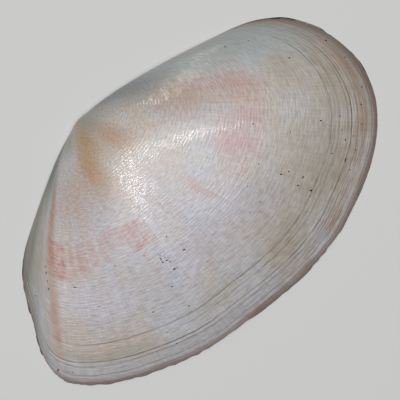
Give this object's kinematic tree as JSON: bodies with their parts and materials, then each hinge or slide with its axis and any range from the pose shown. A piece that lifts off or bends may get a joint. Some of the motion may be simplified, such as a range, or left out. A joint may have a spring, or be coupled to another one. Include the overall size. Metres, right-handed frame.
{
  "type": "tellin shell valve",
  "caption": "Oval, low-domed seashell valve with fine growth ridges, a blunt ridged rear end and a toothed hinge plate inside.",
  "frame": {"origin": "centre of the valve's length and height, in the plane of its rim", "axes": "+X along the length to the front end, +Y to the beak and hinge, +Z out of the domed outside"},
  "size_m": [0.0694, 0.0438, 0.0078],
  "materials": {
    "shell": "satin"
  },
  "bodies": {
    "root": {"right_valve": "shell"}
  },
  "joints": []
}
